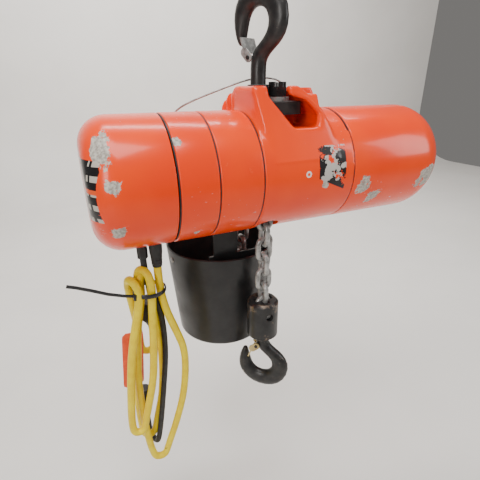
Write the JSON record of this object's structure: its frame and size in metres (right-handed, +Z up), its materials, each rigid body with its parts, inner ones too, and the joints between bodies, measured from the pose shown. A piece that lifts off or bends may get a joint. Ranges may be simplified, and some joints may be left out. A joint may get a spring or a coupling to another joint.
{
  "type": "electric chain hoist",
  "caption": "Electric chain hoist with a tubular casing, swivel top hook, swivel load hook on a link chain, open chain container and tied cords.",
  "frame": {"origin": "saddle of the top hook, where the hoist hangs", "axes": "+X along the casing towards the motor end, +Z up, the load chain on the -Y side"},
  "size_m": [0.453, 0.191, 0.5626],
  "materials": {
    "orange_paint": "glossy",
    "black_rubber": "matt",
    "black_steel": "satin",
    "zinc_steel": "bright",
    "yellow_zinc": "satin",
    "yellow_jacket": "satin",
    "black_plastic": "matt",
    "red_plastic": "satin",
    "machined_steel": "machined",
    "cast_metal": "cast",
    "copper_wire": "varnished",
    "brass_part": "machined"
  },
  "bodies": {
    "casing": {"bearing_plates": "cast_metal", "bearings": "zinc_steel", "brake_coil": "copper_wire", "cable_tie": "black_plastic", "capacitor": "black_plastic", "casing_gaskets": "black_rubber", "castle_nut": "black_steel", "centre_housing": "orange_paint", "chain_container": "black_steel", "chain_guide": "cast_metal", "chain_pile": "zinc_steel", "clutch_ring": "orange_paint", "contactor": "black_plastic", "container_bracket": "zinc_steel", "control_cord": "black_rubber", "control_cover": "orange_paint", "control_gland": "black_rubber", "control_plug": "black_rubber", "cord_boot": "black_rubber", "cord_hank": "yellow_jacket", "cord_tag": "red_plastic", "crosshead": "black_steel", "gear_ring": "orange_paint", "limit_switches": "black_plastic", "motor_cover": "orange_paint", "slack_chain": "zinc_steel", "stator_core": "machined_steel", "stator_windings": "copper_wire", "steady_wire": "zinc_steel", "stud_washer": "zinc_steel", "supply_cord": "yellow_jacket", "supply_plug": "black_rubber", "suspension_stud": "zinc_steel", "tie_bolts": "zinc_steel"},
    "top_hook": {"top_hook": "black_steel", "hook_collar": "black_steel", "hook_nut": "black_steel", "top_latch_rivet": "zinc_steel"},
    "top_latch": {"top_latch": "zinc_steel"},
    "hook_block": {"load_chain": "zinc_steel", "hook_block_front": "black_steel", "hook_block_rear": "black_steel", "load_pin": "zinc_steel", "hook_bearing": "zinc_steel"},
    "load_hook": {"load_hook": "black_steel", "load_latch_rivet": "zinc_steel"},
    "load_latch": {"load_latch": "yellow_zinc"},
    "load_wheel": {"load_wheel": "machined_steel", "output_gear": "machined_steel"},
    "intermediate": {"intermediate_gear": "machined_steel", "intermediate_shaft": "machined_steel"},
    "rotor": {"motor_shaft": "machined_steel", "motor_pinion": "machined_steel", "rotor_core": "machined_steel", "cooling_fan": "black_plastic", "brake_disc": "machined_steel"},
    "limit_screw": {"limit_screw": "machined_steel"},
    "limit_nuts": {"limit_nuts": "brass_part"},
    "brake_armature": {"brake_armature": "machined_steel"}
  },
  "joints": [
    {"name": "top_hook_swivel", "type": "hinge", "parent": "casing", "child": "top_hook", "pos_m": [0, 0, -0.05], "axis": [0, 0, 1], "continuous": true},
    {"name": "top_latch_hinge", "type": "hinge", "parent": "top_hook", "child": "top_latch", "pos_m": [-0.00171, 0.0047, -0.0445], "axis": [0.9397, 0.342, 0], "range_deg": [0, 35], "stiffness_Nm_per_rad": 0.05, "springref_deg": -20.05},
    {"name": "lift", "type": "slide", "parent": "casing", "child": "hook_block", "axis": [0, 0, 1], "range_m": [-0.044, 0.005]},
    {"name": "load_hook_swivel", "type": "hinge", "parent": "hook_block", "child": "load_hook", "pos_m": [-0.002, -0.0229, -0.36], "axis": [0, 0, 1], "continuous": true},
    {"name": "load_latch_hinge", "type": "hinge", "parent": "load_hook", "child": "load_latch", "pos_m": [-0.00554, -0.01937, -0.376], "axis": [-0.7071, -0.7071, 0], "range_deg": [0, 35], "stiffness_Nm_per_rad": 0.05, "springref_deg": -20.05},
    {"name": "wheel_spin", "type": "hinge", "parent": "casing", "child": "load_wheel", "pos_m": [0, 0.008, -0.158], "axis": [1, 0, 0], "continuous": true},
    {"name": "intermediate_spin", "type": "hinge", "parent": "casing", "child": "intermediate", "pos_m": [-0.05, 0.0355, -0.158], "axis": [1, 0, 0], "continuous": true},
    {"name": "rotor_spin", "type": "hinge", "parent": "casing", "child": "rotor", "pos_m": [0.1, 0.008, -0.158], "axis": [1, 0, 0], "continuous": true},
    {"name": "limit_screw_spin", "type": "hinge", "parent": "casing", "child": "limit_screw", "pos_m": [-0.04, -0.032, -0.158], "axis": [1, 0, 0], "continuous": true},
    {"name": "limit_nut_travel", "type": "slide", "parent": "casing", "child": "limit_nuts", "axis": [1, 0, 0], "range_m": [-0.002, 0.002]},
    {"name": "brake_release", "type": "slide", "parent": "casing", "child": "brake_armature", "axis": [1, 0, 0], "range_m": [0, 0.0006], "stiffness_N_per_m": 3000, "springref_m": -0.003}
  ],
  "couplings": [
    {"joint": "wheel_spin", "follows": "lift", "rad_per_m": -32.358},
    {"joint": "intermediate_spin", "follows": "lift", "rad_per_m": 115.95},
    {"joint": "rotor_spin", "follows": "lift", "rad_per_m": -521.77},
    {"joint": "limit_screw_spin", "follows": "lift", "rad_per_m": 37.605},
    {"joint": "limit_nut_travel", "follows": "lift", "ratio": 0.01197}
  ]
}
